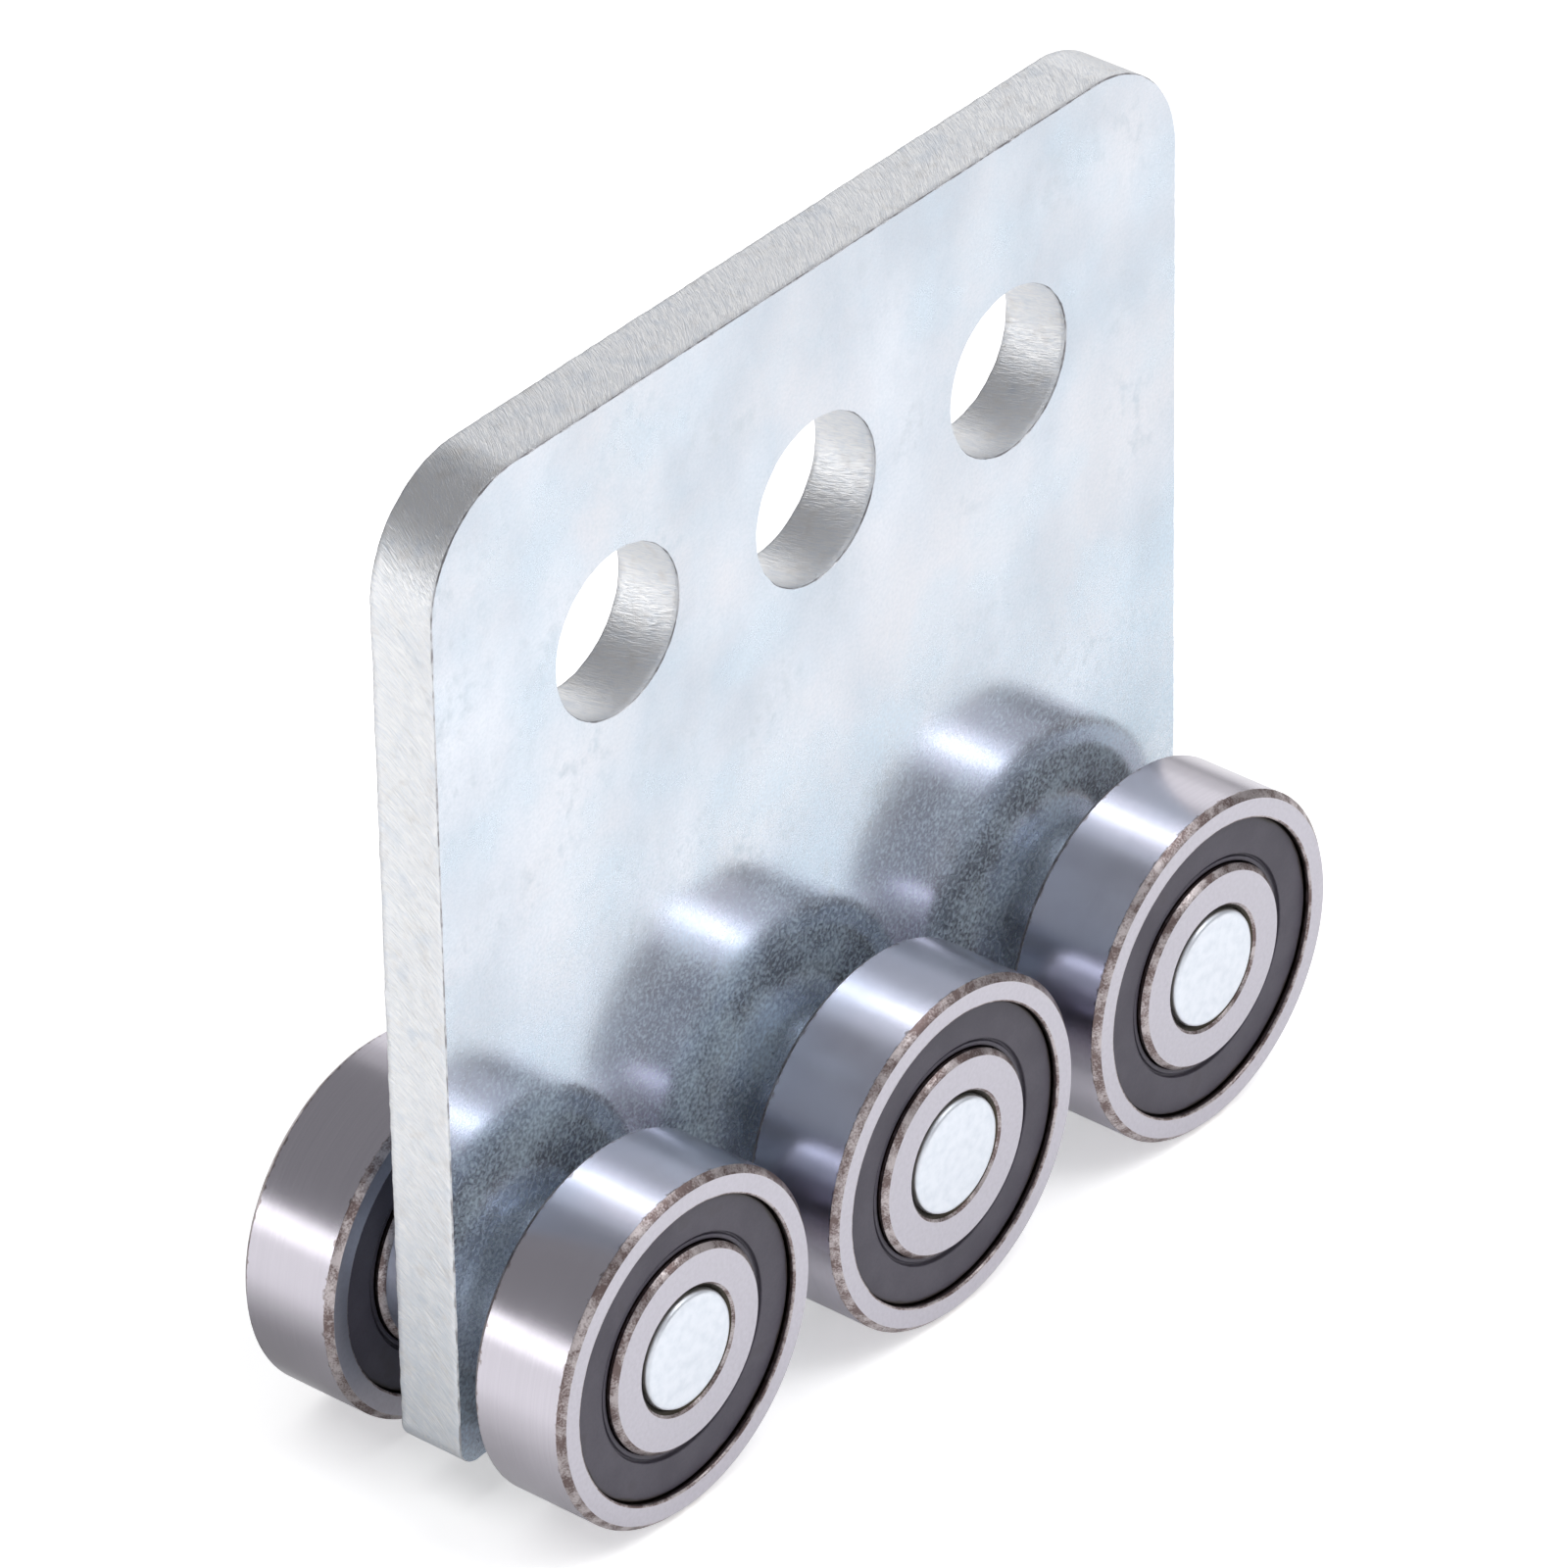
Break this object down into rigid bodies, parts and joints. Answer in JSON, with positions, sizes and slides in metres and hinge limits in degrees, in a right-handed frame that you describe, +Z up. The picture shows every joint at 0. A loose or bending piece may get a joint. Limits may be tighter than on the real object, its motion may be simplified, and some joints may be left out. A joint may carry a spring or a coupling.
{
  "type": "sliding door trolley",
  "caption": "Flat steel hanger plate with a row of bolt holes, on cross axles that carry a sealed ball bearing at each end as a track wheel.",
  "frame": {"origin": "on the running surface under the wheels, midway between the outer axles and in the middle of the plate's thickness", "axes": "+X along the track, +Y through the plate from its front to its rear face, +Z up from the running surface to the bolt holes"},
  "size_m": [0.0954, 0.0324, 0.0908],
  "materials": {
    "plate_zinc": "bright zinc plated, semi-matt",
    "axle_zinc": "bright zinc plated, fine matt",
    "bearing_steel": "ground and polished",
    "ball_steel": "mirror polished",
    "cage_steel": "pressed sheet",
    "seal_rubber": "smooth moulded rubber"
  },
  "bodies": {
    "frame": {"hanger_plate": "plate_zinc", "left_axle": "axle_zinc", "middle_axle": "axle_zinc", "right_axle": "axle_zinc", "front_left_distance_ring": "axle_zinc", "front_left_inner_ring": "bearing_steel", "rear_left_distance_ring": "axle_zinc", "rear_left_inner_ring": "bearing_steel", "front_middle_distance_ring": "axle_zinc", "front_middle_inner_ring": "bearing_steel", "rear_middle_distance_ring": "axle_zinc", "rear_middle_inner_ring": "bearing_steel", "front_right_distance_ring": "axle_zinc", "front_right_inner_ring": "bearing_steel", "rear_right_distance_ring": "axle_zinc", "rear_right_inner_ring": "bearing_steel"},
    "front_left_wheel": {"front_left_outer_ring": "bearing_steel", "front_left_near_seal": "seal_rubber", "front_left_far_seal": "seal_rubber"},
    "front_left_cage": {"front_left_near_cage_half": "cage_steel", "front_left_far_cage_half": "cage_steel", "front_left_cage_rivets": "cage_steel", "front_left_balls": "ball_steel"},
    "rear_left_wheel": {"rear_left_outer_ring": "bearing_steel", "rear_left_near_seal": "seal_rubber", "rear_left_far_seal": "seal_rubber"},
    "rear_left_cage": {"rear_left_near_cage_half": "cage_steel", "rear_left_far_cage_half": "cage_steel", "rear_left_cage_rivets": "cage_steel", "rear_left_balls": "ball_steel"},
    "front_middle_wheel": {"front_middle_outer_ring": "bearing_steel", "front_middle_near_seal": "seal_rubber", "front_middle_far_seal": "seal_rubber"},
    "front_middle_cage": {"front_middle_near_cage_half": "cage_steel", "front_middle_far_cage_half": "cage_steel", "front_middle_cage_rivets": "cage_steel", "front_middle_balls": "ball_steel"},
    "rear_middle_wheel": {"rear_middle_outer_ring": "bearing_steel", "rear_middle_near_seal": "seal_rubber", "rear_middle_far_seal": "seal_rubber"},
    "rear_middle_cage": {"rear_middle_near_cage_half": "cage_steel", "rear_middle_far_cage_half": "cage_steel", "rear_middle_cage_rivets": "cage_steel", "rear_middle_balls": "ball_steel"},
    "front_right_wheel": {"front_right_outer_ring": "bearing_steel", "front_right_near_seal": "seal_rubber", "front_right_far_seal": "seal_rubber"},
    "front_right_cage": {"front_right_near_cage_half": "cage_steel", "front_right_far_cage_half": "cage_steel", "front_right_cage_rivets": "cage_steel", "front_right_balls": "ball_steel"},
    "rear_right_wheel": {"rear_right_outer_ring": "bearing_steel", "rear_right_near_seal": "seal_rubber", "rear_right_far_seal": "seal_rubber"},
    "rear_right_cage": {"rear_right_near_cage_half": "cage_steel", "rear_right_far_cage_half": "cage_steel", "rear_right_cage_rivets": "cage_steel", "rear_right_balls": "ball_steel"}
  },
  "joints": [
    {"name": "front_left_wheel_spin", "type": "hinge", "parent": "frame", "child": "front_left_wheel", "pos_m": [-0.0327, -0.0116, 0.015], "axis": [0, 1, 0], "continuous": true},
    {"name": "front_left_cage_spin", "type": "hinge", "parent": "frame", "child": "front_left_cage", "pos_m": [-0.0327, -0.0116, 0.015], "axis": [0, 1, 0], "continuous": true},
    {"name": "rear_left_wheel_spin", "type": "hinge", "parent": "frame", "child": "rear_left_wheel", "pos_m": [-0.0327, 0.0116, 0.015], "axis": [0, 1, 0], "continuous": true},
    {"name": "rear_left_cage_spin", "type": "hinge", "parent": "frame", "child": "rear_left_cage", "pos_m": [-0.0327, 0.0116, 0.015], "axis": [0, 1, 0], "continuous": true},
    {"name": "front_middle_wheel_spin", "type": "hinge", "parent": "frame", "child": "front_middle_wheel", "pos_m": [0, -0.0116, 0.015], "axis": [0, 1, 0], "continuous": true},
    {"name": "front_middle_cage_spin", "type": "hinge", "parent": "frame", "child": "front_middle_cage", "pos_m": [0, -0.0116, 0.015], "axis": [0, 1, 0], "continuous": true},
    {"name": "rear_middle_wheel_spin", "type": "hinge", "parent": "frame", "child": "rear_middle_wheel", "pos_m": [0, 0.0116, 0.015], "axis": [0, 1, 0], "continuous": true},
    {"name": "rear_middle_cage_spin", "type": "hinge", "parent": "frame", "child": "rear_middle_cage", "pos_m": [0, 0.0116, 0.015], "axis": [0, 1, 0], "continuous": true},
    {"name": "front_right_wheel_spin", "type": "hinge", "parent": "frame", "child": "front_right_wheel", "pos_m": [0.0327, -0.0116, 0.015], "axis": [0, 1, 0], "continuous": true},
    {"name": "front_right_cage_spin", "type": "hinge", "parent": "frame", "child": "front_right_cage", "pos_m": [0.0327, -0.0116, 0.015], "axis": [0, 1, 0], "continuous": true},
    {"name": "rear_right_wheel_spin", "type": "hinge", "parent": "frame", "child": "rear_right_wheel", "pos_m": [0.0327, 0.0116, 0.015], "axis": [0, 1, 0], "continuous": true},
    {"name": "rear_right_cage_spin", "type": "hinge", "parent": "frame", "child": "rear_right_cage", "pos_m": [0.0327, 0.0116, 0.015], "axis": [0, 1, 0], "continuous": true}
  ],
  "couplings": [
    {"joint": "front_left_cage_spin", "follows": "front_left_wheel_spin", "ratio": 0.61905},
    {"joint": "rear_left_cage_spin", "follows": "rear_left_wheel_spin", "ratio": 0.61905},
    {"joint": "front_middle_cage_spin", "follows": "front_middle_wheel_spin", "ratio": 0.61905},
    {"joint": "rear_middle_cage_spin", "follows": "rear_middle_wheel_spin", "ratio": 0.61905},
    {"joint": "front_right_cage_spin", "follows": "front_right_wheel_spin", "ratio": 0.61905},
    {"joint": "rear_right_cage_spin", "follows": "rear_right_wheel_spin", "ratio": 0.61905}
  ]
}
